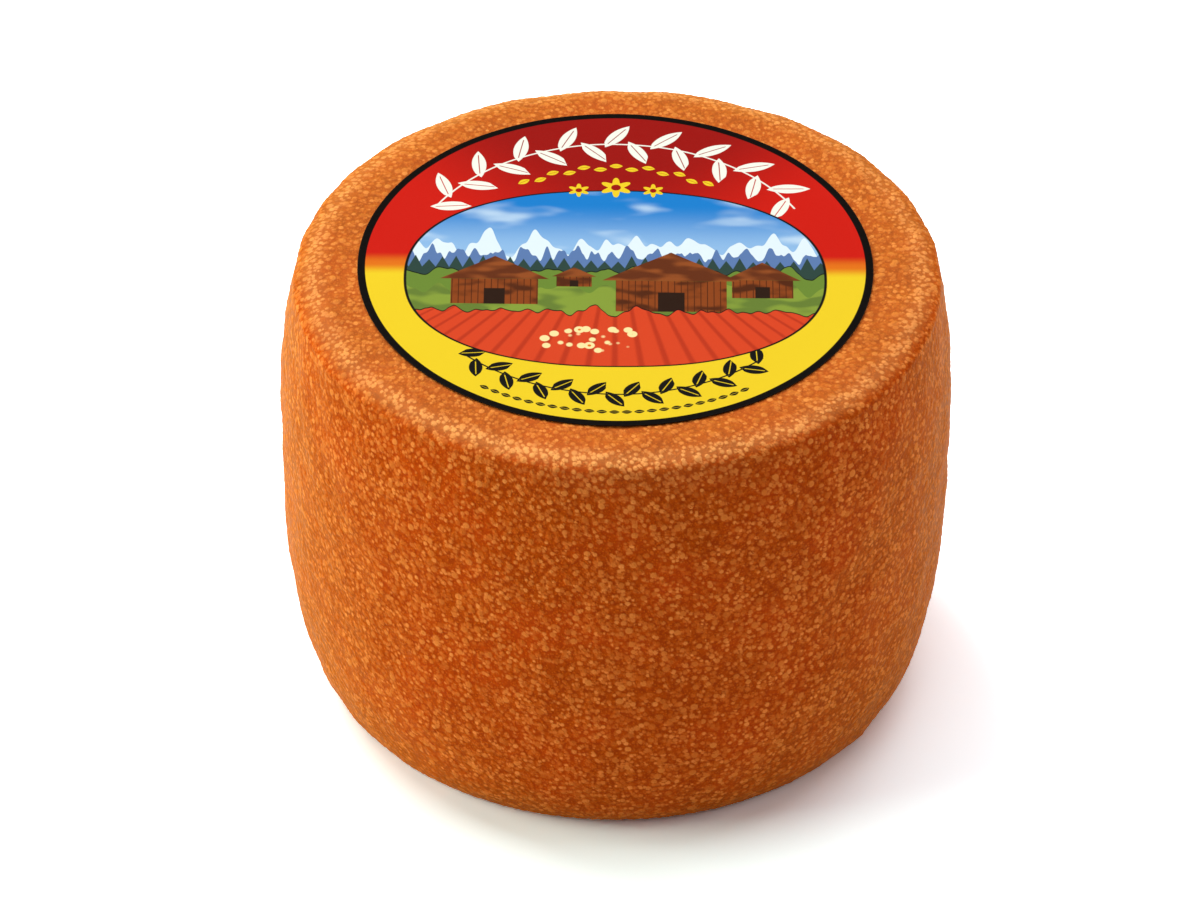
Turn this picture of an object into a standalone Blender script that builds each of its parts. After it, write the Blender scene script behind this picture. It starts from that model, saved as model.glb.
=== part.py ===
"""A small drum of washed-rind mountain cheese, whole and uncut, with a round paper label on top.

Metres, +Z up. The origin is under the middle of the flat foot, and the lower edge of the
label faces -Y, the front.
"""

import math

import bmesh
import bpy
from mathutils import Vector, noise

# Driving dimensions of the whole cheese.
DIAMETER = 0.115
HEIGHT = 0.0824

# The side, from the foot up: a flat foot, a deep rounding, a barrel side and a shoulder that is
# wide and low, so that its edge is tight.
FOOT_RADIUS = 0.0482
FOOT_ROUND_RADIUS = 0.0573
FOOT_ROUND_HEIGHT = 0.0375
WIDEST_HEIGHT = 0.0560
LOWER_SIDE_POWER = 3.0
SHOULDER_RADIUS = 0.0551
SHOULDER_WIDTH = 0.0065
SHOULDER_DROP = 0.0026

# The paper label, which lies on the flat middle of the top.
LABEL_RADIUS = 0.0439
LABEL_THICKNESS = 0.0004
LABEL_OFFSET = (-0.0003, 0.0002)
TOUCH_GAP = 0.0003

# How the cheese has settled: direction in degrees from +X, how far the side stands out at the
# top and at the foot, and how wide the swell or hollow is, in degrees.
SWELLS = (
    (40, 0.0008, 0.0, 34),
    (95, -0.0007, 0.0, 30),
    (195, 0.0003, -0.0001, 34),
    (275, -0.0019, -0.0006, 40),
)

# The low waves of the rind.
RIND_WAVE_DEPTH = 0.00022
RIND_WAVE_LENGTH = 0.0085
RIND_FADE = 0.0030
RIND_NOISE_START = Vector((3.1, 7.4, 1.9))

# Facets.
TURN_STEPS = 112
SIDE_SPACING = 0.0034
SHOULDER_STEPS = 6
LABEL_SIDES = 112

TOP_HEIGHT = HEIGHT - LABEL_THICKNESS - TOUCH_GAP
RADIUS = DIAMETER / 2
TOP_FLAT_RADIUS = SHOULDER_RADIUS - SHOULDER_WIDTH
SHOULDER_HEIGHT = TOP_HEIGHT - SHOULDER_DROP
UNDER_LABEL_RADIUS = LABEL_RADIUS + 0.0008


def clear_scene():
    for obj in list(bpy.data.objects):
        bpy.data.objects.remove(obj)


def make_collection(name):
    collection = bpy.data.collections.new(name)
    bpy.context.scene.collection.children.link(collection)
    return collection


def make_material(name, color, roughness, metallic=0.0):
    material = bpy.data.materials.new(name)
    material.use_nodes = True
    shader = material.node_tree.nodes["Principled BSDF"]
    shader.inputs["Base Color"].default_value = (*color, 1.0)
    shader.inputs["Roughness"].default_value = roughness
    shader.inputs["Metallic"].default_value = metallic
    return material


def steps_over(length):
    """The number of facets that a stretch of the profile takes."""
    return max(2, round(length / SIDE_SPACING))


def top_points():
    """The flat top: the axis, the ring hidden under the label's rim, then out to the shoulder."""
    count = steps_over(TOP_FLAT_RADIUS - UNDER_LABEL_RADIUS)
    step = (TOP_FLAT_RADIUS - UNDER_LABEL_RADIUS) / count
    rings = [(UNDER_LABEL_RADIUS + i * step, TOP_HEIGHT) for i in range(count)]
    return [(0.0, TOP_HEIGHT)] + rings


def shoulder_points():
    """A quarter ellipse from the flat top down to the side."""
    points = []
    for i in range(SHOULDER_STEPS):
        angle = math.pi / 2 * (1 - i / SHOULDER_STEPS)
        radius = TOP_FLAT_RADIUS + SHOULDER_WIDTH * math.cos(angle)
        points.append((radius, SHOULDER_HEIGHT + SHOULDER_DROP * math.sin(angle)))
    return points


def upper_side_points():
    """A parabola from the shoulder down to the widest line."""
    drop = SHOULDER_HEIGHT - WIDEST_HEIGHT
    count = steps_over(drop)
    points = []
    for i in range(count):
        share = 1 - i / count
        radius = RADIUS - (RADIUS - SHOULDER_RADIUS) * share**2
        points.append((radius, WIDEST_HEIGHT + drop * share))
    return points


def lower_side_points():
    """A power curve from the widest line down to the rounding of the foot."""
    drop = WIDEST_HEIGHT - FOOT_ROUND_HEIGHT
    count = steps_over(drop)
    points = []
    for i in range(count):
        share = i / count
        radius = RADIUS - (RADIUS - FOOT_ROUND_RADIUS) * share**LOWER_SIDE_POWER
        points.append((radius, WIDEST_HEIGHT - drop * share))
    return points


def foot_points():
    """A quarter ellipse from the side down to the flat foot, then in to the axis."""
    width = FOOT_ROUND_RADIUS - FOOT_RADIUS
    count = steps_over(math.hypot(width, FOOT_ROUND_HEIGHT))
    points = []
    for i in range(count + 1):
        angle = math.pi / 2 * (1 - i / count)
        radius = FOOT_RADIUS + width * math.sin(angle)
        points.append((radius, FOOT_ROUND_HEIGHT * (1 - math.cos(angle))))
    return points + [(0.0, 0.0)]


def cheese_profile():
    """The half outline in X and Z, from the middle of the top to the middle of the foot."""
    return (
        top_points()
        + shoulder_points()
        + upper_side_points()
        + lower_side_points()
        + foot_points()
    )


def turn_profile(points, name):
    """The profile turned about Z, as a plain mesh."""
    profile = bpy.data.meshes.new(name + "_profile")
    edges = [(i, i + 1) for i in range(len(points) - 1)]
    profile.from_pydata([(x, 0.0, z) for x, z in points], edges, [])
    guide = bpy.data.objects.new(name + "_profile", profile)
    bpy.context.scene.collection.objects.link(guide)
    screw = guide.modifiers.new("Turn", "SCREW")
    screw.axis = "Z"
    screw.angle = math.tau
    screw.steps = TURN_STEPS
    screw.render_steps = TURN_STEPS
    screw.use_merge_vertices = True
    screw.merge_threshold = 0.00001
    graph = bpy.context.evaluated_depsgraph_get()
    mesh = bpy.data.meshes.new_from_object(guide.evaluated_get(graph))
    mesh.name = name
    bpy.data.objects.remove(guide)
    bpy.data.meshes.remove(profile)
    return mesh


def swell_at(angle, height_share):
    """How far the settled side stands out of the turned one."""
    total = 0.0
    for direction, at_top, at_foot, width in SWELLS:
        turn = math.degrees(angle) - direction
        turn = (turn + 180) % 360 - 180
        amount = at_foot + (at_top - at_foot) * height_share
        total += amount * math.exp(-((turn / width) ** 2))
    return total


def fade_from_flats(point):
    """0 on the flat top and the flat foot, rising to 1 a few millimetres away from them."""
    radius = math.hypot(point.x, point.y)
    if radius <= UNDER_LABEL_RADIUS + 1e-6:
        return 0.0
    from_label = (radius - UNDER_LABEL_RADIUS) / RIND_FADE
    from_foot = point.z / RIND_FADE
    if point.z > SHOULDER_HEIGHT:
        return min(1.0, from_label)
    return min(1.0, from_foot)


def settle(mesh):
    """Swells and hollows the turned drum, and gives its rind low waves."""
    body = bmesh.new()
    body.from_mesh(mesh)
    body.normal_update()
    moved = []
    for vert in body.verts:
        point = vert.co.copy()
        radius = math.hypot(point.x, point.y)
        if radius < 1e-6:
            moved.append(point)
            continue
        out = Vector((point.x / radius, point.y / radius, 0.0))
        share = point.z / TOP_HEIGHT
        swell = swell_at(math.atan2(point.y, point.x), share) * radius / RADIUS
        wave = noise.noise(point / RIND_WAVE_LENGTH + RIND_NOISE_START)
        relief = vert.normal * (wave * RIND_WAVE_DEPTH * fade_from_flats(point))
        moved.append(point + out * swell + relief)
    for vert, place in zip(body.verts, moved):
        vert.co = place
    centre_on_axis(body.verts)
    body.to_mesh(mesh)
    body.free()


def centre_on_axis(verts):
    """Moves the drum sideways until the middle of its box is over the origin."""
    for axis in (0, 1):
        places = [vert.co[axis] for vert in verts]
        middle = (min(places) + max(places)) / 2
        for vert in verts:
            vert.co[axis] -= middle


def make_cheese(collection):
    mesh = turn_profile(cheese_profile(), "cheese_wheel")
    settle(mesh)
    mesh.shade_smooth()
    mesh.materials.append(make_material("washed_rind", (0.546, 0.171, 0.032), 0.42))
    cheese = bpy.data.objects.new("cheese_wheel", mesh)
    collection.objects.link(cheese)
    return cheese


def make_label(collection, cheese):
    mesh = bpy.data.meshes.new("paper_label")
    disc = bmesh.new()
    bmesh.ops.create_cone(
        disc,
        cap_ends=True,
        segments=LABEL_SIDES,
        radius1=LABEL_RADIUS,
        radius2=LABEL_RADIUS,
        depth=LABEL_THICKNESS,
    )
    disc.to_mesh(mesh)
    disc.free()
    mesh.materials.append(make_material("label_paper", (0.90, 0.60, 0.06), 0.35))
    label = bpy.data.objects.new("paper_label", mesh)
    label.location = (*LABEL_OFFSET, HEIGHT - LABEL_THICKNESS / 2)
    label.parent = cheese
    collection.objects.link(label)
    return label


clear_scene()
parts = make_collection("tete_de_moine_cheese")
cheese_wheel = make_cheese(parts)
make_label(parts, cheese_wheel)
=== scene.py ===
import math

import bpy
import numpy as np
from mathutils import Matrix, Vector


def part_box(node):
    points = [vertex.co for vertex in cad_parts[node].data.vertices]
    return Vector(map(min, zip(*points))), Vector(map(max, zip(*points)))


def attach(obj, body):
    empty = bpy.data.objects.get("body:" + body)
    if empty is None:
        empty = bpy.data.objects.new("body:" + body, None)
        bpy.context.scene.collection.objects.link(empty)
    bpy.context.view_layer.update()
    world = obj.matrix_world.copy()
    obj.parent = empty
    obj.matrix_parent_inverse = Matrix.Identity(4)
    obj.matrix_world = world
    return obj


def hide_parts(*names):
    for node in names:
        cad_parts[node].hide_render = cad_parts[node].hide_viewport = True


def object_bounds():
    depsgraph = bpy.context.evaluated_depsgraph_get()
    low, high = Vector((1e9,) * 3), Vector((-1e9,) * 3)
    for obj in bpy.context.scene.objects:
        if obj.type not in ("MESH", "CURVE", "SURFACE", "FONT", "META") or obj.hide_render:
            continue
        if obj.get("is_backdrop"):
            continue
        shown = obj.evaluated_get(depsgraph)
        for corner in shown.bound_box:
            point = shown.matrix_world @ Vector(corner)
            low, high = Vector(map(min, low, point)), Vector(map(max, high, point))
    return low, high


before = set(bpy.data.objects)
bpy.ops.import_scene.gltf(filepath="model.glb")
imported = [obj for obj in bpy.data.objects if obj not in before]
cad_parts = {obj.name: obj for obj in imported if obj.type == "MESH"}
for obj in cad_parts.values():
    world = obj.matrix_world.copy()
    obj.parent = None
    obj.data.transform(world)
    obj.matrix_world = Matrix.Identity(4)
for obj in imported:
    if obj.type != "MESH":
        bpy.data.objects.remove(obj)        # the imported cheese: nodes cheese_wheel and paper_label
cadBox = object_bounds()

mm = 0.001
tiny = 1e-9                     # keeps a division away from nought
wheelLow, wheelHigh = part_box("cheese_wheel")
labelLow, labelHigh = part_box("paper_label")
labelCentre = (labelLow + labelHigh) / 2
labelRadius = (labelHigh.x - labelLow.x) / 2


# Meshes from whole arrays of points

def newPiece(name, points, quads, normals=None):
    mesh = bpy.data.meshes.new(name)
    mesh.vertices.add(len(points))
    mesh.vertices.foreach_set("co", np.ascontiguousarray(points, np.float32).ravel())
    mesh.loops.add(quads.size)
    mesh.loops.foreach_set("vertex_index", np.ascontiguousarray(quads, np.int32).ravel())
    mesh.polygons.add(len(quads))
    mesh.polygons.foreach_set("loop_start", np.arange(0, quads.size, 4, dtype=np.int32))
    mesh.update(calc_edges=True)
    mesh.validate()
    mesh.shade_smooth()
    if normals is not None:
        mesh.normals_split_custom_set_from_vertices(normals.astype(np.float32))
    piece = bpy.data.objects.new(name, mesh)
    bpy.context.scene.collection.objects.link(piece)
    return piece


def gridQuads(rows, columns, first=0):
    # Corners in the order down, right, up: outward where rows run down and columns run
    # anticlockwise.
    number = first + np.arange(rows * columns).reshape(rows, columns)
    corners = [number[:-1, :-1], number[1:, :-1], number[1:, 1:], number[:-1, 1:]]
    return np.stack(corners, axis=-1).reshape(-1, 4)


def setAttribute(piece, name, values):
    layer = piece.data.attributes.new(name, "FLOAT", "POINT")
    layer.data.foreach_set("value", np.ascontiguousarray(values, np.float32).ravel())


def discGrid(count):
    # A square of side 2 pressed into the unit circle: each square ring of the grid becomes a round
    # ring, so the cells stay alike in size and there is no pole.
    side = np.linspace(-1, 1, count)
    across, up = np.meshgrid(side, side)
    wide = np.abs(across) > np.abs(up)
    eighth = math.pi / 4
    fromSide = eighth * up / np.where(across == 0, tiny, across)
    fromTop = 2 * eighth - eighth * across / np.where(up == 0, tiny, up)
    angle = np.where(wide, fromSide, fromTop)
    radius = np.where(wide, across, up)
    return radius * np.cos(angle), radius * np.sin(angle)


# The cheese: the same turned profile and swells as the solid it stands for

wheel = dict(
    diameter=115 * mm,
    footRadius=48.2 * mm,
    footRoundRadius=57.3 * mm,
    footRoundHeight=37.5 * mm,
    widestHeight=56 * mm,
    lowerSidePower=3.0,
    shoulderRadius=55.1 * mm,
    shoulderWidth=6.5 * mm,
    shoulderDrop=2.6 * mm,
    labelGap=0.3 * mm,          # between the top and the label's solid
    rimTuck=1.3 * mm,           # how far the rind's fine mesh runs in under the label
    curvePoints=400,            # of each stretch of the profile, before it is read at equal steps
    gridSpacing=0.25 * mm,
    sectors=8,
    footGrid=200,
    underLabelGrid=110,
    # direction in degrees, how far out at the top and at the foot, and width in degrees
    swells=(
        (40, 0.8 * mm, 0.0, 34),
        (95, -0.7 * mm, 0.0, 30),
        (195, 0.3 * mm, -0.1 * mm, 34),
        (275, -1.9 * mm, -0.6 * mm, 40),
    ),
)
topHeight = labelLow.z - wheel["labelGap"]
innerRadius = labelRadius - wheel["rimTuck"]


def profilePath():
    # Flat top, quarter ellipse, parabola, power curve, quarter ellipse: joined end to end, then
    # read at equal steps along their length.
    share = np.linspace(0, 1, wheel["curvePoints"])
    quarter = share * math.pi / 2
    radius = wheel["diameter"] / 2
    flat = wheel["shoulderRadius"] - wheel["shoulderWidth"]
    shoulderHeight = topHeight - wheel["shoulderDrop"]
    upperDrop = shoulderHeight - wheel["widestHeight"]
    lowerDrop = wheel["widestHeight"] - wheel["footRoundHeight"]
    footWidth = wheel["footRoundRadius"] - wheel["footRadius"]
    outward = np.concatenate([
        innerRadius + (flat - innerRadius) * share,
        flat + wheel["shoulderWidth"] * np.sin(quarter),
        radius - (radius - wheel["shoulderRadius"]) * (1 - share) ** 2,
        radius - (radius - wheel["footRoundRadius"]) * share ** wheel["lowerSidePower"],
        wheel["footRadius"] + footWidth * np.cos(quarter),
    ])
    height = np.concatenate([
        np.full(share.size, topHeight),
        shoulderHeight + wheel["shoulderDrop"] * np.cos(quarter),
        shoulderHeight - upperDrop * share,
        wheel["widestHeight"] - lowerDrop * share,
        wheel["footRoundHeight"] * (1 - np.sin(quarter)),
    ])
    steps = np.hypot(np.diff(outward), np.diff(height))
    length = np.concatenate([[0], np.cumsum(steps)])
    places = np.linspace(0, length[-1], round(length[-1] / wheel["gridSpacing"]))
    return np.interp(places, length, outward), np.interp(places, length, height)


def swellAt(angle, heightShare):
    # A sum of bells round the side, each one's height running from its foot value to its top value.
    total = np.zeros(np.broadcast(angle, heightShare).shape)
    for direction, atTop, atFoot, width in wheel["swells"]:
        turn = (np.degrees(angle) - direction + 180) % 360 - 180
        total = total + (atFoot + (atTop - atFoot) * heightShare) * np.exp(-((turn / width) ** 2))
    return total


waves = dict(
    depth=0.12 * mm,
    length=8.5 * mm,
    shortest=0.8,               # the shortest wave, as a share of the length
    longer=0.7,                 # how much of the length the longest one has beside that
    phaseStep=1.7,
    count=9,
    fade=3 * mm,
)


def lowWaves(points):
    # A sum of plane sine waves whose directions are spread evenly over a sphere.
    total = np.zeros(points.shape[:-1])
    golden = math.pi * (3 - math.sqrt(5))
    for i in range(waves["count"]):
        rise = 1 - 2 * (i + 0.5) / waves["count"]
        side = math.sqrt(1 - rise * rise)
        direction = np.array([side * math.cos(golden * i), side * math.sin(golden * i), rise])
        length = waves["length"] * (waves["shortest"] + waves["longer"] * i / waves["count"])
        total += np.sin(points @ direction * 2 * math.pi / length + waves["phaseStep"] * i)
    return total * waves["depth"] / math.sqrt(waves["count"])


def bareWheel():
    # point = (profile radius + swell) round the axis at the profile's height, plus low waves along
    # the normal, moved so that its box has the same middle as the solid's.
    outward, height = profilePath()
    columns = round(math.pi * wheel["diameter"] / wheel["gridSpacing"] / wheel["sectors"])
    columns *= wheel["sectors"]
    turn = np.arange(columns) * 2 * math.pi / columns
    share = (height / topHeight)[:, None]
    ratio = (outward / (wheel["diameter"] / 2))[:, None]
    radius = outward[:, None] + swellAt(turn[None, :], share) * ratio
    flatHeight = np.repeat(height[:, None], columns, axis=1)
    points = np.stack([radius * np.cos(turn), radius * np.sin(turn), flatHeight], axis=-1)
    fromLabel = np.clip((outward - labelRadius) / waves["fade"], 0, 1)
    fromFoot = np.clip(height / waves["fade"], 0, 1)
    fade = np.minimum(fromLabel, fromFoot)[:, None]
    points = points + gridNormals(points) * (lowWaves(points) * fade)[..., None]
    middle = (points.min((0, 1)) + points.max((0, 1))) / 2
    points[..., :2] += np.array((wheelLow + wheelHigh) / 2)[:2] - middle[:2]
    return points


def gridNormals(points):
    down = np.gradient(points, axis=0)
    around = np.roll(points, -1, axis=1) - np.roll(points, 1, axis=1)
    normals = np.cross(down, around)
    return normals / np.linalg.norm(normals, axis=-1, keepdims=True)


# The pebbles of the rind: balls scattered through space, cut by the surface

pebbles = dict(
    depth=0.15 * mm,            # from the tops of the tallest pebbles to the ground between them
    crease=0.06 * mm,           # how far a pebble must stand over its neighbour to take full colour
    rise=0.18,                  # height of a ball's dome, as a share of its radius
    offMiddle=0.8,              # how far a ball may lie from the middle of its cell
    plainTone=0.5,              # the tone of the ground
    seed=41,
    tableSize=48,
    # cell of the scatter, and the smallest and largest radius as shares of it
    kinds=(
        dict(cell=1.85 * mm, smallest=0.33, largest=0.46),
        dict(cell=1.30 * mm, smallest=0.36, largest=0.52),
        dict(cell=1.00 * mm, smallest=0.37, largest=0.54),
    ),
)


def scatterTable():
    # Five numbers for each cell: three for the ball's place, one for its size, one for its tone.
    rng = np.random.default_rng(pebbles["seed"])
    size = pebbles["tableSize"]
    return rng.random((len(pebbles["kinds"]), size, size, size, 5), dtype=np.float32)


pebbleTable = scatterTable()


def pebblesOfKind(points, kind, table):
    # One ball in each cell of a cubic lattice, off its middle at random. Height over the ground is
    # rise * radius * (1 - (distance / radius)^2) of the ball that stands highest there; the second
    # highest is kept too, for the creases between pebbles.
    spots = points / kind["cell"]
    base = np.floor(spots).astype(np.int32)
    height = np.zeros(len(points), np.float32)
    second = np.zeros(len(points), np.float32)
    cover = np.zeros(len(points), np.float32)
    tone = np.zeros(len(points), np.float32)
    for step in np.ndindex(3, 3, 3):
        cell = base + np.array(step) - 1
        drawn = table[tuple((cell % pebbles["tableSize"]).T)]
        centre = cell + 0.5 + pebbles["offMiddle"] * (drawn[:, :3] - 0.5)
        radius = kind["smallest"] + (kind["largest"] - kind["smallest"]) * drawn[:, 3]
        inside = 1 - ((spots - centre) ** 2).sum(1) / radius ** 2
        rise = pebbles["rise"] * radius * np.clip(inside, 0, 1) * kind["cell"]
        higher = rise > height
        second = np.maximum(second, np.minimum(rise, height))
        height = np.where(higher, rise, height)
        cover = np.where(higher, np.clip(inside, 0, 1), cover)
        tone = np.where(higher, drawn[:, 4], tone)
    return height, second, cover, tone


def pebbleField(points):
    # The highest of all kinds, as a share of the relief's depth, and what the material reads: its
    # cover, which falls to 0 in the creases as the root of the height over the neighbour, its
    # tone, and whether it is one of the large pebbles.
    shape = points.shape[:-1]
    flat = points.reshape(-1, 3)
    height = np.zeros(len(flat), np.float32)
    second = np.zeros(len(flat), np.float32)
    cover = np.zeros(len(flat), np.float32)
    tone = np.full(len(flat), pebbles["plainTone"], np.float32)
    large = np.zeros(len(flat), np.float32)
    for kind, table in zip(pebbles["kinds"], pebbleTable):
        rise, beneath, fills, shade = pebblesOfKind(flat, kind, table)
        higher = rise > height
        second = np.maximum(np.maximum(second, beneath), np.minimum(rise, height))
        height = np.where(higher, rise, height)
        cover = np.where(higher, fills, cover)
        tone = np.where(higher, shade, tone)
        large = np.where(higher, float(kind is pebbles["kinds"][0]), large)
    cover = cover * np.clip((height - second) / pebbles["crease"], 0, 1) ** 0.5
    share = np.clip(height / pebbles["depth"], 0, 1).reshape(shape)
    values = dict(pebble=cover, tone=tone, large=large)
    return share, {name: value.reshape(shape) for name, value in values.items()}


# The pale line where the top rolls over: wear all round, and a painted highlight that the front adds
wornAndHighlight = dict(ring=51.8 * mm, width=1.7 * mm, allRound=0.7, highlightAtFront=0.7)


def wornEdgeAndHighlight(points):
    # A bell across the ring, from the points' distance to the axis, on the upper half only, times
    # (allRound + highlightAtFront * (cosine of the angle to the front)^4): wear all round, and a
    # painted highlight that grows towards the front.
    far = np.hypot(points[..., 0], points[..., 1])
    bell = np.exp(-((far - wornAndHighlight["ring"]) / wornAndHighlight["width"]) ** 2)
    # How far the point faces the front, where the painted highlight is strongest
    front = np.clip(-points[..., 1] / np.maximum(far, mm), 0, 1) ** 4
    strength = bell * (wornAndHighlight["allRound"] + wornAndHighlight["highlightAtFront"] * front)
    return np.where(points[..., 2] > topHeight / 2, strength, 0)


def makeRind():
    # The bare wheel, sunk along its normal between the pebbles, cut into equal sectors.
    bare = bareWheel()
    share, values = pebbleField(bare)
    # Pale rolled edge: wear all round, and a painted highlight towards the front
    values["wornAndHighlight"] = wornEdgeAndHighlight(bare)
    points = bare - gridNormals(bare) * (pebbles["depth"] * (1 - share))[..., None]
    normals = gridNormals(points)
    rows, columns = points.shape[:2]
    perSector = columns // wheel["sectors"]
    pieces = []
    for sector in range(wheel["sectors"]):
        picked = np.arange(sector * perSector, (sector + 1) * perSector + 1) % columns
        piece = newPiece(
            f"rind_sector_{sector + 1}",
            points[:, picked].reshape(-1, 3),
            gridQuads(rows, len(picked)),
            normals[:, picked].reshape(-1, 3),
        )
        for name, value in values.items():
            setAttribute(piece, name, value[:, picked])
        pieces.append(piece)
    pieces.append(makeRindDisc("rind_foot", bare[-1], wheel["footGrid"], -1))
    pieces.append(makeRindDisc("rind_under_label", bare[0], wheel["underLabelGrid"], 1))
    return pieces


def makeRindDisc(name, rim, count, facing):
    # The unit disc stretched to the rim's radius in each direction, with the same pebbles sunk into
    # it; facing is 1 for a top and -1 for a foot.
    across, up = discGrid(count)
    rimAngle = np.unwrap(np.arctan2(rim[:, 1], rim[:, 0]))
    rimRadius = np.hypot(rim[:, 0], rim[:, 1])
    angle = (np.arctan2(up, across) - rimAngle[0]) % (2 * math.pi) + rimAngle[0]
    radius = np.hypot(across, up) * np.interp(angle, rimAngle, rimRadius, period=2 * math.pi)
    level = np.full(radius.shape, rim[:, 2].mean())
    bare = np.stack([radius * np.cos(angle), radius * np.sin(angle), level], axis=-1)
    share, values = pebbleField(bare)
    bare[..., 2] -= facing * pebbles["depth"] * (1 - share)
    quads = gridQuads(count, count)
    if facing > 0:
        quads = quads[:, ::-1]
    piece = newPiece(name, bare.reshape(-1, 3), quads)
    for layer, value in values.items():
        setAttribute(piece, layer, value)
    return piece


# The paper label

paper = dict(
    grid=180,
    thickness=0.14 * mm,
    overRind=0.04 * mm,          # from the pebbles' tops to the underside of the paper
    cockle=0.03 * mm,            # soft waves of the whole sheet
    cockleLength=19 * mm,
    cockleStretch=0.8,           # how many times as many waves run the other way
    cocklePhases=(0.6, 1.9),
    rimLift=0.06 * mm,           # how far the rim has come up where it has
    rimWidth=5 * mm,
    rimEven=0.5,                 # the part of the lift that is the same all round
    rimWaves=((0.3, 3, 0.4), (0.2, 7, 0.0)),    # part of the lift, waves round the rim, phase
    hardAngle=40,                # degrees: edges that turn more than this stay sharp
)


def makeLabel():
    # height = rind + cockle * two crossed sines + rimLift * (share of the rim's width)^2 * (slow
    # waves round the rim); the underside is the same sheet one thickness lower, and a strip joins
    # them.
    across, up = discGrid(paper["grid"])
    x = across * labelRadius
    y = up * labelRadius
    angle = np.arctan2(y, x)
    step = 2 * math.pi / paper["cockleLength"]
    firstPhase, secondPhase = paper["cocklePhases"]
    crossed = np.sin(x * step + firstPhase)
    crossed = crossed * np.sin(y * step * paper["cockleStretch"] + secondPhase)
    cockle = paper["cockle"] * (crossed + 1)
    near = np.clip((np.hypot(x, y) - labelRadius) / paper["rimWidth"] + 1, 0, 1)
    slow = paper["rimEven"]
    for part, times, phase in paper["rimWaves"]:
        slow = slow + part * np.sin(times * angle + phase)
    lift = paper["rimLift"] * near ** 2 * slow
    low = topHeight + paper["overRind"] + cockle + lift
    under = np.stack([x + labelCentre.x, y + labelCentre.y, low], axis=-1)
    over = under + np.array([0, 0, paper["thickness"]])
    count = paper["grid"]
    number = np.arange(count * count).reshape(count, count)
    ring = np.concatenate([number[0, :-1], number[:-1, -1], number[-1, :0:-1], number[:0:-1, 0]])
    nextRing = np.roll(ring, -1)
    below = count * count
    strip = np.stack([ring, ring + below, nextRing + below, nextRing], axis=-1)
    top = gridQuads(count, count)[:, ::-1]
    bottom = gridQuads(count, count, below)
    points = np.concatenate([over.reshape(-1, 3), under.reshape(-1, 3)])
    piece = newPiece("label_sheet", points, np.concatenate([top, bottom, strip]))
    piece.data.set_sharp_from_angle(angle=math.radians(paper["hardAngle"]))
    return piece


# Shader helpers

def ink(red, green, blue):
    # A colour as a picture shows it, 0 to 255, turned into the shader's linear scale.
    shares = [value / 255 for value in (red, green, blue)]
    linear = [((s + 0.055) / 1.055) ** 2.4 if s > 0.04045 else s / 12.92 for s in shares]
    return (*linear, 1.0)


def plug(tree, socket, value):
    if isinstance(value, bpy.types.NodeSocket):
        tree.links.new(value, socket)
    else:
        socket.default_value = value


def calculator(tree):
    # Each call adds one Math node and gives back its output.
    def calc(operation, *values, clamp=False):
        node = tree.nodes.new("ShaderNodeMath")
        node.operation = operation
        node.use_clamp = clamp
        for socket, value in zip(node.inputs, values):
            plug(tree, socket, value)
        return node.outputs[0]
    return calc


def painter(tree):
    # Each call lays a colour over another where the mask is 1. The node's colours are its inputs
    # 6 and 7 and its output 2.
    def paint(below, above, mask):
        node = tree.nodes.new("ShaderNodeMix")
        node.data_type = "RGBA"
        plug(tree, node.inputs["Factor"], mask)
        plug(tree, node.inputs[6], below)
        plug(tree, node.inputs[7], above)
        return node.outputs[2]
    return paint


def noiseAt(tree, vector, scale, detail=2.0, roughness=0.5):
    node = tree.nodes.new("ShaderNodeTexNoise")
    tree.links.new(vector, node.inputs["Vector"])
    node.inputs["Scale"].default_value = scale
    node.inputs["Detail"].default_value = detail
    node.inputs["Roughness"].default_value = roughness
    return node.outputs["Fac"]


def spread(tree, value, fromLow, fromHigh, toLow=0.0, toHigh=1.0, kind="SMOOTHSTEP"):
    node = tree.nodes.new("ShaderNodeMapRange")
    node.interpolation_type = kind
    plug(tree, node.inputs["Value"], value)
    node.inputs["From Min"].default_value = fromLow
    node.inputs["From Max"].default_value = fromHigh
    node.inputs["To Min"].default_value = toLow
    node.inputs["To Max"].default_value = toHigh
    return node.outputs["Result"]


def newMaterial(name):
    material = bpy.data.materials.new(name)
    material.use_nodes = True
    tree = material.node_tree
    return material, tree, tree.nodes["Principled BSDF"]


def newGroup(name, inputs, outputs):
    group = bpy.data.node_groups.new(name, "ShaderNodeTree")
    for way, titles in (("INPUT", inputs), ("OUTPUT", outputs)):
        for title in titles:
            group.interface.new_socket(name=title, in_out=way, socket_type="NodeSocketFloat")
    given = group.nodes.new("NodeGroupInput").outputs
    result = group.nodes.new("NodeGroupOutput").inputs
    return group, given, result


def placeGroup(tree, group, **values):
    node = tree.nodes.new("ShaderNodeGroup")
    node.node_tree = group
    for title, value in values.items():
        plug(tree, node.inputs[title], value)
    return node.outputs


def addBump(tree, shader, height, distance, strength):
    bump = tree.nodes.new("ShaderNodeBump")
    bump.inputs["Distance"].default_value = distance
    bump.inputs["Strength"].default_value = strength
    tree.links.new(height, bump.inputs["Height"])
    tree.links.new(bump.outputs["Normal"], shader.inputs["Normal"])


# The washed rind

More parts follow.
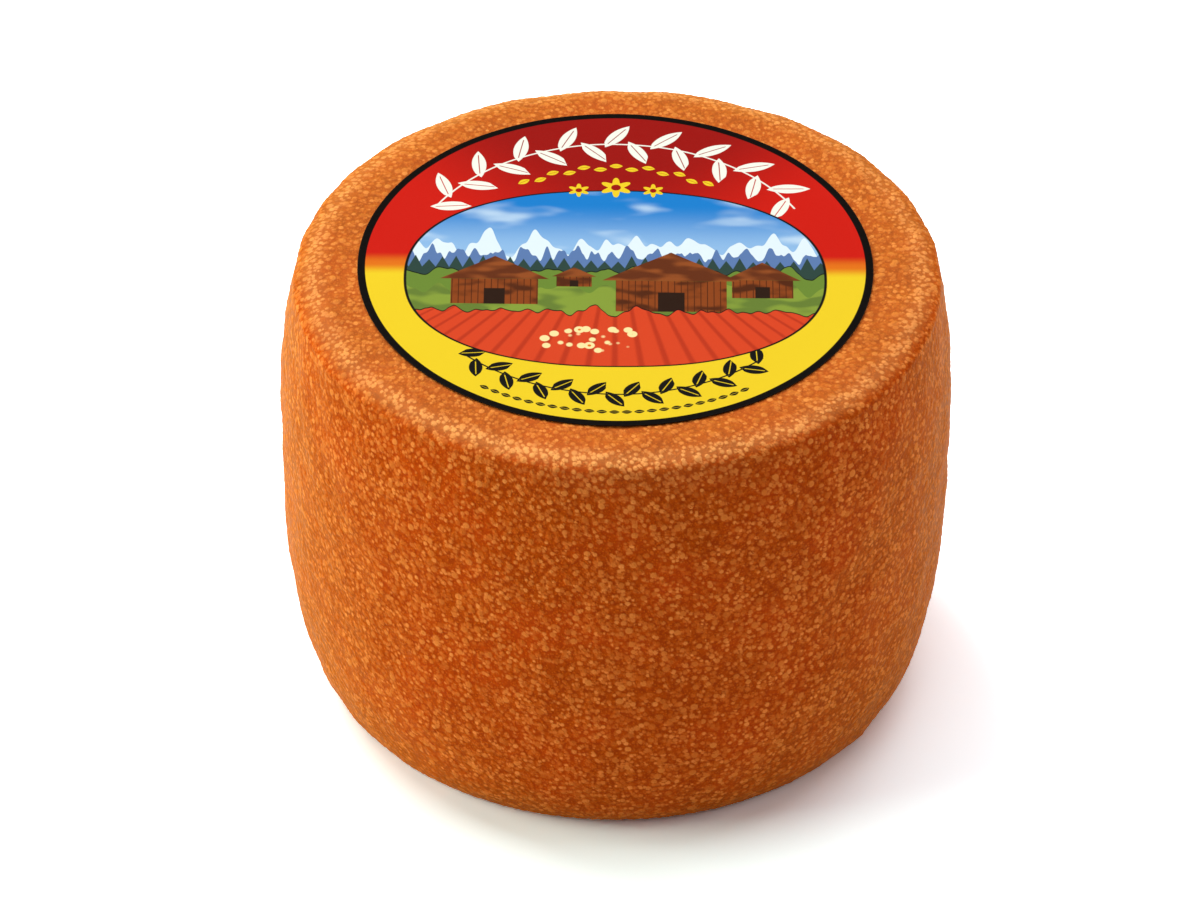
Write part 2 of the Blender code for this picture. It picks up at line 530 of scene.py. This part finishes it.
# A range gives the values between which a mask rises from 0 to 1.
rind = dict(
    ground=ink(190, 74, 3),
    groundDark=ink(166, 58, 1),
    fineLength=0.9 * mm,        # of the mottling of the ground
    fineRange=(0.35, 0.65),
    patch=ink(208, 66, 4),
    patchLength=13 * mm,
    patchRange=(0.42, 0.66),
    patchStrength=0.35,
    speck=ink(228, 106, 20),
    speckCell=0.52 * mm,
    speckRange=(0.55, 0.05),
    speckStrength=0.5,
    pebble=ink(234, 116, 36),
    pebblePale=ink(250, 147, 70),
    coverRange=(0.0, 0.62),
    toneStrength=(0.6, 0.34),   # how strong a pebble's colour is: by its tone, and at least
    blotchLength=4.5 * mm,      # of the places where all pebbles are fainter
    blotchRange=(0.2, 0.7),
    blotchStrength=(0.7, 1.0),
    largeMiddle=ink(228, 126, 48),
    middleRange=(0.35, 0.75),
    middleStrength=0.6,
    topSheen=ink(158, 119, 66),      # painted sheen: the top paler and greyer, for the white light it reflects
    topSheenDepth=1.9 * mm,
    topSheenFull=0.3,                # the share of that depth where the painted sheen is full
    topSheenStrength=0.26,
    # Pale rolled edge: wear, and a painted highlight towards the front
    wornAndHighlight=ink(255, 174, 104),
    wornAndHighlightStrength=(0.45, 0.12),  # on pebbles beside the ground, and on the ground
    paintedSheen=ink(220, 150, 50),    # painted sheen, where the rind turns away from the eye
    paintedSheenRange=(0.38, 0.8),
    paintedSheenStrength=0.28,
    glossRange=(0.3, 0.7),
    roughness=(0.36, 0.52),
    specular=0.02,
    bumpDistance=0.08 * mm,
    bumpStrength=0.8,
    bumpFine=0.35,              # of the mottling, beside the specks
)


def washedRind():
    material, tree, shader = newMaterial("washed_rind")
    paint = painter(tree)
    calc = calculator(tree)
    place = tree.nodes.new("ShaderNodeTexCoord").outputs["Object"]

    def attribute(name):
        node = tree.nodes.new("ShaderNodeAttribute")
        node.attribute_name = name
        return node.outputs["Fac"]

    dome = attribute("pebble")
    cover = spread(tree, dome, *rind["coverRange"])
    tone = attribute("tone")
    specks = tree.nodes.new("ShaderNodeTexVoronoi")
    tree.links.new(place, specks.inputs["Vector"])
    specks.inputs["Scale"].default_value = 1 / rind["speckCell"]
    speck = spread(tree, specks.outputs["Distance"], *rind["speckRange"])
    patchNoise = noiseAt(tree, place, 1 / rind["patchLength"], detail=3.0)
    patch = spread(tree, patchNoise, *rind["patchRange"])
    fine = noiseAt(tree, place, 1 / rind["fineLength"], detail=3.0, roughness=0.6)
    blotch = noiseAt(tree, place, 1 / rind["blotchLength"])

    ground = paint(rind["groundDark"], rind["ground"], spread(tree, fine, *rind["fineRange"]))
    ground = paint(ground, rind["patch"], calc("MULTIPLY", patch, rind["patchStrength"]))
    ground = paint(ground, rind["speck"], calc("MULTIPLY", speck, rind["speckStrength"]))
    pebble = paint(rind["pebble"], rind["pebblePale"], tone)
    middle = calc("MULTIPLY", spread(tree, dome, *rind["middleRange"]), attribute("large"))
    middle = calc("MULTIPLY", middle, rind["middleStrength"])
    pebble = paint(pebble, rind["largeMiddle"], middle)
    strength = calc("MULTIPLY_ADD", tone, *rind["toneStrength"])
    full = spread(tree, blotch, *rind["blotchRange"], *rind["blotchStrength"])
    strength = calc("MULTIPLY", strength, full)
    color = paint(ground, pebble, calc("MULTIPLY", cover, strength))

    parts = tree.nodes.new("ShaderNodeSeparateXYZ")
    tree.links.new(place, parts.inputs["Vector"])
    # Painted sheen on the top: paler and greyer near the top face, for the white light it reflects
    topSheenFrom = topHeight - rind["topSheenDepth"]
    topSheenTo = topHeight - rind["topSheenFull"] * rind["topSheenDepth"]
    topSheen = spread(tree, parts.outputs["Z"], topSheenFrom, topSheenTo)
    color = paint(color, rind["topSheen"], calc("MULTIPLY", topSheen, rind["topSheenStrength"]))
    # Pale rolled edge: wear all round, and a painted highlight towards the front
    wearAndHighlight = calc("MULTIPLY_ADD", cover, *rind["wornAndHighlightStrength"])
    color = paint(color, rind["wornAndHighlight"], calc("MULTIPLY", attribute("wornAndHighlight"), wearAndHighlight))
    # Painted sheen: a paler colour towards the edges that turn away from the eye
    facing = tree.nodes.new("ShaderNodeLayerWeight").outputs["Facing"]
    sheenMask = spread(tree, facing, *rind["paintedSheenRange"], 0.0, rind["paintedSheenStrength"], "LINEAR")
    color = paint(color, rind["paintedSheen"], sheenMask)
    tree.links.new(color, shader.inputs["Base Color"])

    rough = spread(tree, fine, *rind["glossRange"], *rind["roughness"])
    tree.links.new(rough, shader.inputs["Roughness"])
    shader.inputs["Specular IOR Level"].default_value = rind["specular"]
    height = calc("MULTIPLY_ADD", fine, rind["bumpFine"], speck)
    addBump(tree, shader, height, rind["bumpDistance"], rind["bumpStrength"])
    return material


# The printed paper: a generic meadow in an oval, with leaf garlands on a red and yellow ground

# All lengths of the print are in millimetres.
edgeSoftness = 0.09             # width of a printed edge
lineHalf = 0.13                 # half the width of a drawn line
leafShape = dict(
    vein=0.07,                  # half the vein, as a share of the leaf's width
    veinEnd=0.5,                # the square of how far along the leaf the vein goes
    veinFade=0.1,
    stemHalf=0.16,
    turnSoftness=0.004,         # radians over which a row ends
)
barnShape = dict(eaves=1.25, doorWidth=0.24, doorHeight=0.62)     # shares of the walls
firShape = dict(
    shuffle=(12.99, 43.76),     # what a tree's number and its sine are multiplied by
    size=(0.5, 0.6),            # what chance adds, and the smallest size
    softness=0.2,
)
ridgeDetail = 1.2


def lengthOf(calc, x, y):
    # The square root of x^2 + y^2.
    return calc("SQRT", calc("ADD", calc("POWER", x, 2.0), calc("POWER", y, 2.0)))


def flatPoint(tree, x, y):
    node = tree.nodes.new("ShaderNodeCombineXYZ")
    plug(tree, node.inputs["X"], x)
    plug(tree, node.inputs["Y"], y)
    return node.outputs["Vector"]


def insideOf(calc, distance, softness=edgeSoftness):
    # 1 where the distance is below nought, falling to 0 over the width of a printed edge.
    return calc("MULTIPLY_ADD", distance, -1 / softness, 0.5, clamp=True)


def leafRowGroup():
    # Leaves set round a circle, each |across| < width * (1 - (along / length)^2), tilted and moved
    # outward and inward by turns.
    names = ["X", "Y", "Radius", "Step", "Length", "Width", "Tilt", "Spread", "Reach"]
    group, given, result = newGroup("leafRow", names, ["Leaf", "Stem"])
    calc = calculator(group)
    angle = calc("ARCTAN2", given["X"], given["Y"])
    far = lengthOf(calc, given["X"], given["Y"])
    place = calc("DIVIDE", angle, given["Step"])
    number = calc("ROUND", place)
    along = calc("MULTIPLY", calc("MULTIPLY", calc("SUBTRACT", place, number), given["Step"]), far)
    out = calc("SUBTRACT", far, given["Radius"])
    turnBy = calc("COSINE", calc("MULTIPLY", number, math.pi))
    away = calc("SUBTRACT", out, calc("MULTIPLY", turnBy, given["Spread"]))
    tilt = calc("MULTIPLY", given["Tilt"], turnBy)
    sine = calc("SINE", tilt)
    cosine = calc("COSINE", tilt)
    lengthwise = calc("ADD", calc("MULTIPLY", along, cosine), calc("MULTIPLY", away, sine))
    across = calc("SUBTRACT", calc("MULTIPLY", away, cosine), calc("MULTIPLY", along, sine))
    across = calc("ABSOLUTE", across)
    bow = calc("POWER", calc("ABSOLUTE", calc("DIVIDE", lengthwise, given["Length"])), 2.0)
    half = calc("MULTIPLY", given["Width"], calc("SUBTRACT", 1.0, bow))
    leaf = insideOf(calc, calc("SUBTRACT", across, half))
    veinHalf = calc("MULTIPLY", given["Width"], leafShape["vein"])
    vein = insideOf(calc, calc("SUBTRACT", across, veinHalf))
    veinLeft = calc("SUBTRACT", bow, leafShape["veinEnd"])
    vein = calc("MULTIPLY", vein, insideOf(calc, veinLeft, leafShape["veinFade"]))
    soft = leafShape["turnSoftness"]
    reach = insideOf(calc, calc("SUBTRACT", calc("ABSOLUTE", angle), given["Reach"]), soft)
    leafTurn = calc("ABSOLUTE", calc("MULTIPLY", number, given["Step"]))
    whole = insideOf(calc, calc("SUBTRACT", leafTurn, given["Reach"]), soft)
    leaf = calc("MULTIPLY", calc("MULTIPLY", leaf, calc("SUBTRACT", 1.0, vein)), whole)
    stem = insideOf(calc, calc("SUBTRACT", calc("ABSOLUTE", out), leafShape["stemHalf"]))
    group.links.new(leaf, result["Leaf"])
    group.links.new(calc("MULTIPLY", stem, reach), result["Stem"])
    return group


def ridgeGroup():
    # Everything under y = base + height * (noise along x - 1/2), and a line along that edge.
    names = ["X", "Y", "Base", "Height", "Scale", "Seed"]
    group, given, result = newGroup("ridge", names, ["Land", "Line"])
    calc = calculator(group)
    noise = group.nodes.new("ShaderNodeTexNoise")
    noise.noise_dimensions = "1D"
    noise.inputs["Detail"].default_value = ridgeDetail
    along = calc("MULTIPLY_ADD", given["X"], given["Scale"], given["Seed"])
    group.links.new(along, noise.inputs["W"])
    rise = calc("MULTIPLY", calc("SUBTRACT", noise.outputs["Fac"], 0.5), given["Height"])
    over = calc("SUBTRACT", given["Y"], calc("ADD", given["Base"], rise))
    group.links.new(insideOf(calc, over), result["Land"])
    line = insideOf(calc, calc("SUBTRACT", calc("ABSOLUTE", over), lineHalf))
    group.links.new(line, result["Line"])
    return group


def firGroup():
    # A row of firs: under y = base + height * (own size) * (1 - |saw tooth along x|). Chance, for
    # each tree, is the fraction of a multiple of the sine of a multiple of its number.
    names = ["X", "Y", "Base", "Height", "Pitch", "Seed"]
    group, given, result = newGroup("firs", names, ["Trees"])
    calc = calculator(group)
    place = calc("ADD", calc("DIVIDE", given["X"], given["Pitch"]), given["Seed"])
    number = calc("FLOOR", place)
    tooth = calc("ABSOLUTE", calc("MULTIPLY_ADD", calc("FRACT", place), 2.0, -1.0))
    first, second = firShape["shuffle"]
    chance = calc("MULTIPLY", calc("SINE", calc("MULTIPLY", number, first)), second)
    size = calc("MULTIPLY_ADD", calc("FRACT", chance), *firShape["size"])
    tallest = calc("MULTIPLY", size, given["Height"])
    rise = calc("MULTIPLY", tallest, calc("SUBTRACT", 1.0, tooth))
    over = calc("SUBTRACT", given["Y"], calc("ADD", given["Base"], rise))
    group.links.new(insideOf(calc, over, firShape["softness"]), result["Trees"])
    return group


def barnGroup():
    # Walls: a box. Roof: a triangle that stands past the walls. Door: a smaller box.
    names = ["X", "Y", "Centre", "Ground", "HalfWidth", "WallHeight", "RoofHeight"]
    group, given, result = newGroup("barn", names, ["Walls", "Roof", "Door"])
    calc = calculator(group)
    side = calc("ABSOLUTE", calc("SUBTRACT", given["X"], given["Centre"]))
    up = calc("SUBTRACT", given["Y"], given["Ground"])
    under = calc("MULTIPLY", up, -1.0)
    walls = calc("MAXIMUM", calc("SUBTRACT", side, given["HalfWidth"]), under)
    walls = calc("MAXIMUM", walls, calc("SUBTRACT", up, given["WallHeight"]))
    group.links.new(insideOf(calc, walls), result["Walls"])
    overWall = calc("SUBTRACT", up, given["WallHeight"])
    eaves = calc("MULTIPLY", given["HalfWidth"], barnShape["eaves"])
    slope = calc("SUBTRACT", calc("DIVIDE", side, eaves), 1.0)
    slope = calc("ADD", calc("MULTIPLY", slope, given["RoofHeight"]), overWall)
    roof = calc("MAXIMUM", slope, calc("MULTIPLY", overWall, -1.0))
    group.links.new(insideOf(calc, roof), result["Roof"])
    doorHalf = calc("MULTIPLY", given["HalfWidth"], barnShape["doorWidth"])
    doorTop = calc("MULTIPLY", given["WallHeight"], barnShape["doorHeight"])
    door = calc("MAXIMUM", calc("SUBTRACT", side, doorHalf), under)
    door = calc("MAXIMUM", door, calc("SUBTRACT", up, doorTop))
    group.links.new(insideOf(calc, door), result["Door"])
    return group


label = dict(
    rimWidth=1.3,
    rim=ink(8, 4, 3),
    cutWidth=0.06,              # the cut edge of the paper
    cutFade=0.04,
    paperEdge=ink(30, 24, 22),
    red=ink(188, 24, 14),
    redDeep=ink(141, 16, 13),
    deepSlope=1.1,              # the red deepens upwards, and less so towards the sides
    deepRange=(-12.0, 26.0),
    yellow=ink(219, 185, 35),
    orange=ink(206, 102, 22),
    meets=0.3,                  # height over the middle where red turns to yellow
    meetWidth=6.4,
    ovalHalfWidth=35.5,
    ovalHalfHeight=24.5,
    ovalHeight=-3.2,
    ovalPower=2.3,
    outline=0.32,
    white=ink(222, 220, 216),
    black=ink(16, 14, 14),
    skyHigh=ink(24, 112, 190),
    skyLow=ink(132, 168, 214),
    cloud=ink(196, 212, 232),
    rock=ink(84, 110, 162),
    snow=ink(206, 216, 230),
    forest=ink(42, 62, 58),
    hillFar=ink(98, 122, 48),
    hillNear=ink(122, 140, 54),
    hillShade=ink(66, 88, 42),
    timber=ink(128, 60, 24),
    timberDark=ink(76, 34, 15),
    roof=ink(92, 42, 20),
    roofLight=ink(134, 68, 32),
    door=ink(40, 22, 14),
    field=ink(198, 62, 32),
    fieldDeep=ink(160, 42, 22),
    bloom=ink(232, 206, 152),
    fibreScale=2.2,
    glossRange=(0.3, 0.7),
    roughness=(0.38, 0.50),
    specular=0.06,
    pressedScale=0.55,
    bumpDistance=0.05 * mm,
    bumpStrength=0.5,
    bumpFibre=0.3,
)

meadowShape = dict(
    flatten=2.4,                # how much wider than high the clouds and shades are
    skyRange=(7.0, 21.0),
    cloudScale=0.06,
    cloudRange=(0.5, 0.72),
    cloudStrength=0.8,
    mownScale=0.11,
    mownRange=(0.46, 0.58),
    mownStrength=0.6,
    boardsPerMm=0.9,
    boardGap=0.14,
    boardSoftness=0.08,
    shadeScale=0.16,
    timberRange=(0.36, 0.56),
    roofRange=(0.44, 0.66),
)
ridges = dict(
    snow=dict(Base=9.4, Height=13.0, Scale=0.045, Seed=3.7),
    rock=dict(Base=6.6, Height=9.0, Scale=0.09, Seed=8.3),
    hillFar=dict(Base=1.6, Height=6.0, Scale=0.045, Seed=1.4),
    hillNear=dict(Base=-3.4, Height=9.0, Scale=0.035, Seed=6.2),
    field=dict(Base=-9.4, Height=5.0, Scale=0.05, Seed=2.9),
)
firRow = dict(Base=2.6, Height=3.2, Pitch=2.3, Seed=0.3)

# Centre, ground, half width, wall height and roof height of each barn, from the back to the front
barns = (
    (-7.0, -2.6, 3.0, 2.8, 2.6),
    (25.0, -5.4, 5.2, 5.0, 5.0),
    (-20.5, -7.6, 7.4, 7.0, 6.4),
    (9.5, -9.4, 9.4, 8.6, 8.0),
)


def meadow(tree, calc, paint, x, y):
    # Sky, far peaks, firs, two hills, barns and a field of flowers, each laid over the one behind.
    shape = meadowShape
    flat = flatPoint(tree, x, calc("MULTIPLY", y, shape["flatten"]))
    ridge = ridgeGroup()
    firs = firGroup()
    barn = barnGroup()

    color = paint(label["skyLow"], label["skyHigh"], spread(tree, y, *shape["skyRange"]))
    cloudNoise = noiseAt(tree, flat, shape["cloudScale"])
    clouds = spread(tree, cloudNoise, *shape["cloudRange"])
    color = paint(color, label["cloud"], calc("MULTIPLY", clouds, shape["cloudStrength"]))
    for name in ("snow", "rock"):
        land = placeGroup(tree, ridge, X=x, Y=y, **ridges[name])["Land"]
        color = paint(color, label[name], land)
    trees = placeGroup(tree, firs, X=x, Y=y, **firRow)
    color = paint(color, label["forest"], trees["Trees"])
    far = placeGroup(tree, ridge, X=x, Y=y, **ridges["hillFar"])
    color = paint(color, label["hillFar"], far["Land"])
    color = paint(color, label["black"], far["Line"])
    near = placeGroup(tree, ridge, X=x, Y=y, **ridges["hillNear"])
    color = paint(color, label["hillNear"], near["Land"])
    mown = noiseAt(tree, flat, shape["mownScale"], detail=1.0)
    mown = spread(tree, mown, *shape["mownRange"])
    mown = calc("MULTIPLY", calc("MULTIPLY", mown, near["Land"]), shape["mownStrength"])
    color = paint(color, label["hillShade"], mown)

    boards = calc("FRACT", calc("MULTIPLY", x, shape["boardsPerMm"]))
    gaps = insideOf(calc, calc("SUBTRACT", boards, shape["boardGap"]), shape["boardSoftness"])
    shade = noiseAt(tree, flat, shape["shadeScale"], detail=1.0)
    lit = spread(tree, shade, *shape["timberRange"])
    timber = paint(label["timberDark"], label["timber"], lit)
    timber = paint(timber, label["timberDark"], gaps)
    roof = paint(label["roof"], label["roofLight"], spread(tree, shade, *shape["roofRange"]))
    for centre, ground, halfWidth, wallHeight, roofHeight in barns:
        made = placeGroup(
            tree, barn, X=x, Y=y, Centre=centre, Ground=ground,
            HalfWidth=halfWidth, WallHeight=wallHeight, RoofHeight=roofHeight,
        )
        color = paint(color, timber, made["Walls"])
        color = paint(color, roof, made["Roof"])
        color = paint(color, label["door"], made["Door"])
    front = placeGroup(tree, ridge, X=x, Y=y, **ridges["field"])
    color = paint(color, flowerField(tree, calc, paint, x, y), front["Land"])
    return paint(color, label["black"], front["Line"])


flowers = dict(
    vanishes=16.0,              # height of the point that the rows run to
    rows=9.0,
    furrowRange=(0.30, 0.46),
    furrowStrength=0.7,
    scale=0.46,
    randomness=0.8,
    bloomRange=(0.46, 0.38),
    middleRange=(0.17, 0.11),
    bunchMiddle=(-3.0, -17.6),
    bunchHalf=(12.0, 3.4),
)


def flowerField(tree, calc, paint, x, y):
    # Rows that run to a point far behind, x / (distance to it), with whole pale blooms in front
    # where their own middles lie inside a low oval.
    away = calc("SUBTRACT", flowers["vanishes"], y)
    rows = calc("FRACT", calc("DIVIDE", calc("MULTIPLY", x, flowers["rows"]), away))
    offRow = calc("ABSOLUTE", calc("SUBTRACT", rows, 0.5))
    furrow = spread(tree, offRow, *flowers["furrowRange"])
    furrow = calc("MULTIPLY", furrow, flowers["furrowStrength"])
    field = paint(label["field"], label["fieldDeep"], furrow)
    blooms = tree.nodes.new("ShaderNodeTexVoronoi")
    tree.links.new(flatPoint(tree, x, y), blooms.inputs["Vector"])
    blooms.inputs["Scale"].default_value = flowers["scale"]
    blooms.inputs["Randomness"].default_value = flowers["randomness"]
    bloom = spread(tree, blooms.outputs["Distance"], *flowers["bloomRange"])
    middle = spread(tree, blooms.outputs["Distance"], *flowers["middleRange"])
    spot = tree.nodes.new("ShaderNodeSeparateXYZ")
    tree.links.new(blooms.outputs["Position"], spot.inputs["Vector"])
    shares = []
    for axis, place, half in zip("XY", flowers["bunchMiddle"], flowers["bunchHalf"]):
        share = calc("DIVIDE", calc("SUBTRACT", spot.outputs[axis], place), half)
        shares.append(calc("POWER", share, 2.0))
    bunch = calc("LESS_THAN", calc("ADD", *shares), 1.0)
    field = paint(field, label["bloom"], calc("MULTIPLY", bloom, bunch))
    return paint(field, label["orange"], calc("MULTIPLY", middle, bunch))


# Middle and size of the flowers over the picture, and their shape as shares of the size
rosettes = ((-6.4, 21.6, 1.9), (0.0, 22.4, 2.8), (6.4, 21.6, 1.9))
rosetteShape = dict(petals=6.0, wave=0.25, reach=0.75, heart=0.3)


def rosette(calc, x, y, centre, height, size):
    # Petals: distance < size * (reach + wave * cos(petals * angle)), and a round heart.
    shape = rosetteShape
    side = calc("SUBTRACT", x, centre)
    up = calc("SUBTRACT", y, height)
    far = lengthOf(calc, side, up)
    petal = calc("COSINE", calc("MULTIPLY", calc("ARCTAN2", side, up), shape["petals"]))
    reach = calc("MULTIPLY_ADD", petal, shape["wave"] * size, shape["reach"] * size)
    flower = insideOf(calc, calc("SUBTRACT", far, reach))
    heart = insideOf(calc, calc("SUBTRACT", far, shape["heart"] * size))
    return flower, heart


# Rows set round the label's middle: colour, whether it hangs below, whether it has a stem, and its
# measures, with the angles in radians
leafRows = (
    ("white", False, True, dict(
        Radius=35.0, Step=0.115, Length=3.9, Width=1.25, Tilt=0.95, Spread=2.2, Reach=1.07,
    )),
    ("yellow", False, False, dict(
        Radius=28.2, Step=0.098, Length=1.15, Width=0.62, Tilt=0.0, Spread=0.45, Reach=0.66,
    )),
    ("black", True, True, dict(
        Radius=35.4, Step=0.086, Length=2.7, Width=1.15, Tilt=0.85, Spread=1.3, Reach=0.78,
    )),
    ("black", True, False, dict(
        Radius=40.2, Step=0.052, Length=0.90, Width=0.48, Tilt=0.0, Spread=0.0, Reach=0.58,
    )),
)


def printedPaper():
    material, tree, shader = newMaterial("label_paper")
    calc = calculator(tree)
    paint = painter(tree)
    place = tree.nodes.new("ShaderNodeTexCoord").outputs["Object"]
    mapping = tree.nodes.new("ShaderNodeMapping")
    tree.links.new(place, mapping.inputs["Vector"])
    perMetre = 1 / mm
    mapping.inputs["Scale"].default_value = (perMetre, perMetre, perMetre)
    middle = (-perMetre * labelCentre.x, -perMetre * labelCentre.y, 0)
    mapping.inputs["Location"].default_value = middle
    parts = tree.nodes.new("ShaderNodeSeparateXYZ")
    tree.links.new(mapping.outputs["Vector"], parts.inputs["Vector"])
    x, y = parts.outputs["X"], parts.outputs["Y"]
    far = lengthOf(calc, x, y)
    edge = labelRadius / mm

    deep = calc("SUBTRACT", calc("MULTIPLY", y, label["deepSlope"]), calc("ABSOLUTE", x))
    red = paint(label["red"], label["redDeep"], spread(tree, deep, *label["deepRange"]))
    low = label["meets"] - label["meetWidth"] / 2
    color = paint(label["yellow"], label["orange"], spread(tree, y, low, label["meets"]))
    color = paint(color, red, spread(tree, y, label["meets"], low + label["meetWidth"]))

    leafRow = leafRowGroup()
    down = calc("MULTIPLY", y, -1.0)
    for colorName, hanging, stemmed, measures in leafRows:
        row = placeGroup(tree, leafRow, X=x, Y=down if hanging else y, **measures)
        drawn = calc("MAXIMUM", row["Leaf"], row["Stem"]) if stemmed else row["Leaf"]
        color = paint(color, label[colorName], drawn)

    # The oval: (|x| / half width)^power + (|y| / half height)^power = 1.
    inOval = calc("SUBTRACT", y, label["ovalHeight"])
    power = label["ovalPower"]
    wide = calc("POWER", calc("DIVIDE", calc("ABSOLUTE", x), label["ovalHalfWidth"]), power)
    high = calc("DIVIDE", calc("ABSOLUTE", inOval), label["ovalHalfHeight"])
    high = calc("POWER", high, power)
    oval = calc("SUBTRACT", calc("POWER", calc("ADD", wide, high), 1 / power), 1.0)
    oval = calc("MULTIPLY", oval, label["ovalHalfHeight"])
    color = paint(color, label["black"], insideOf(calc, calc("SUBTRACT", oval, label["outline"])))
    color = paint(color, meadow(tree, calc, paint, x, inOval), insideOf(calc, oval))

    for centre, height, size in rosettes:
        flower, heart = rosette(calc, x, y, centre, height, size)
        color = paint(color, label["yellow"], flower)
        color = paint(color, label["redDeep"], heart)

    rimMask = insideOf(calc, calc("SUBTRACT", edge - label["rimWidth"], far))
    color = paint(color, label["rim"], rimMask)
    cut = insideOf(calc, calc("SUBTRACT", edge - label["cutWidth"], far), label["cutFade"])
    color = paint(color, label["paperEdge"], cut)
    tree.links.new(color, shader.inputs["Base Color"])

    onPaper = mapping.outputs["Vector"]
    fibre = noiseAt(tree, onPaper, label["fibreScale"], detail=4.0, roughness=0.6)
    rough = spread(tree, fibre, *label["glossRange"], *label["roughness"])
    tree.links.new(rough, shader.inputs["Roughness"])
    shader.inputs["Specular IOR Level"].default_value = label["specular"]
    pressed = noiseAt(tree, onPaper, label["pressedScale"], detail=1.0)
    height = calc("MULTIPLY_ADD", fibre, label["bumpFibre"], pressed)
    addBump(tree, shader, height, label["bumpDistance"], label["bumpStrength"])
    return material


# Floor, lights and camera

stage = dict(
    floorSize=6.0,
    floorGrid=9,
    floorDrop=0.2 * mm,
    floorSeen=(1.52, 1.68, 1.85),    # over 1, so that the floor shows as a white sweep
    floorLit=0.92,              # the share of light that the floor throws back at the cheese
    floorRoughness=0.9,
    floorSpecular=0.1,
    ambient=0.0,                # what the backdrop adds to the light on the cheese
    seenBackground=1.0,
    lampDistance=2.0,
    lampSize=1.2,
)

# Name: direction in degrees from +X, height in degrees, power and colour
softboxes = {
    "overhead": (90, 78, 16.4, (1, 0.98, 0.94)),
    "back_left": (135, 50, 24.4, (1, 1.07, 0.97)),
    "left": (185, 25, 25.2, (1, 1.18, 0.97)),
    "left_front": (240, 30, 3.5, (1, 1, 0.94)),
    "right": (0, 25, 9.0, (1, 0.99, 0.90)),
    "back_right": (45, 50, 10.8, (1, 0.98, 0.92)),
}

camera = dict(
    elevation=38.35,
    distance=1.5,
    focalPixels=8671,           # of a picture 1200 pixels wide
    imageWidth=1200,
    sensorWidth=36,
    target=Vector((-2.63 * mm, 0.0, 42.16 * mm)),
    roll=0.54,
    clip=(0.1, 20),
)


def makeFloor():
    # A level square just under the foot. The camera sees it brighter than it lights the cheese.
    half = stage["floorSize"] / 2
    count = stage["floorGrid"]
    side = np.linspace(-half, half, count)
    across, up = np.meshgrid(side, side)
    points = np.stack([across, up, np.full(across.shape, -stage["floorDrop"])], axis=-1)
    floor = newPiece("floor", points.reshape(-1, 3), gridQuads(count, count)[:, ::-1])
    material, tree, shader = newMaterial("pale_floor")
    rays = tree.nodes.new("ShaderNodeLightPath").outputs["Is Camera Ray"]
    lit = stage["floorLit"]
    color = painter(tree)((lit, lit, lit, 1), (*stage["floorSeen"], 1), rays)
    tree.links.new(color, shader.inputs["Base Color"])
    shader.inputs["Roughness"].default_value = stage["floorRoughness"]
    shader.inputs["Specular IOR Level"].default_value = stage["floorSpecular"]
    floor.data.materials.append(material)
    floor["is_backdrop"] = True


def makeLights():
    for name, (direction, height, power, tint) in softboxes.items():
        turn, rise = math.radians(direction), math.radians(height)
        flat = math.cos(rise)
        away = Vector((flat * math.cos(turn), flat * math.sin(turn), math.sin(rise)))
        lamp = bpy.data.lights.new(name, "AREA")
        lamp.shape = "SQUARE"
        lamp.size = stage["lampSize"]
        lamp.energy = power
        lamp.color = tint
        holder = bpy.data.objects.new(name, lamp)
        holder.location = away * stage["lampDistance"] + Vector((0, 0, topHeight / 2))
        holder.rotation_euler = away.to_track_quat("Z", "Y").to_euler()
        holder.visible_camera = False
        bpy.context.scene.collection.objects.link(holder)


def makeWorld():
    # The camera sees a white backdrop; the light on the cheese comes from the lamps.
    world = bpy.data.worlds.new("studio")
    bpy.context.scene.world = world
    world.use_nodes = True
    tree = world.node_tree
    background = tree.nodes["Background"]
    background.inputs["Color"].default_value = (1, 1, 1, 1)
    rays = tree.nodes.new("ShaderNodeLightPath").outputs["Is Camera Ray"]
    strength = spread(tree, rays, 0.0, 1.0, stage["ambient"], stage["seenBackground"], "LINEAR")
    tree.links.new(strength, background.inputs["Strength"])


def makeCamera():
    # Looks at the target from the front, raised by the elevation, then rolled a little.
    rise, roll = math.radians(camera["elevation"]), math.radians(camera["roll"])
    back = Vector((0, -math.cos(rise), math.sin(rise)))
    right = Vector((1, 0, 0))
    up = back.cross(right)
    lens = bpy.data.cameras.new("camera")
    lens.sensor_width = camera["sensorWidth"]
    lens.lens = camera["focalPixels"] * camera["sensorWidth"] / camera["imageWidth"]
    lens.clip_start, lens.clip_end = camera["clip"]
    eye = bpy.data.objects.new("camera", lens)
    across = math.cos(roll) * right + math.sin(roll) * up
    upright = math.cos(roll) * up - math.sin(roll) * right
    turn = Matrix((across, upright, back)).transposed()
    place = Matrix.Translation(camera["target"] + back * camera["distance"])
    eye.matrix_world = place @ turn.to_4x4()
    bpy.context.scene.collection.objects.link(eye)
    bpy.context.scene.camera = eye


# Build

rindPieces = makeRind()
rindMaterial = washedRind()
for piece in rindPieces:
    piece.data.materials.append(rindMaterial)
    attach(piece, "root")
    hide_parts("cheese_wheel")
rindQuads = sum(len(piece.data.polygons) for piece in rindPieces)
print("rind:", len(rindPieces), "pieces,", rindQuads, "quads")

labelSheet = makeLabel()
labelSheet.data.materials.append(printedPaper())
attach(labelSheet, "root")
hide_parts("paper_label")
print("label:", len(labelSheet.data.polygons), "quads")

makeFloor()
makeLights()
makeWorld()
makeCamera()
bpy.context.scene.view_settings.view_transform = "Standard"
print("stage, lights and camera are in place")

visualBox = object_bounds()
boxes = {"cad": cadBox, "visual": visualBox}
{name: [list(corner) for corner in box] for name, box in boxes.items()}
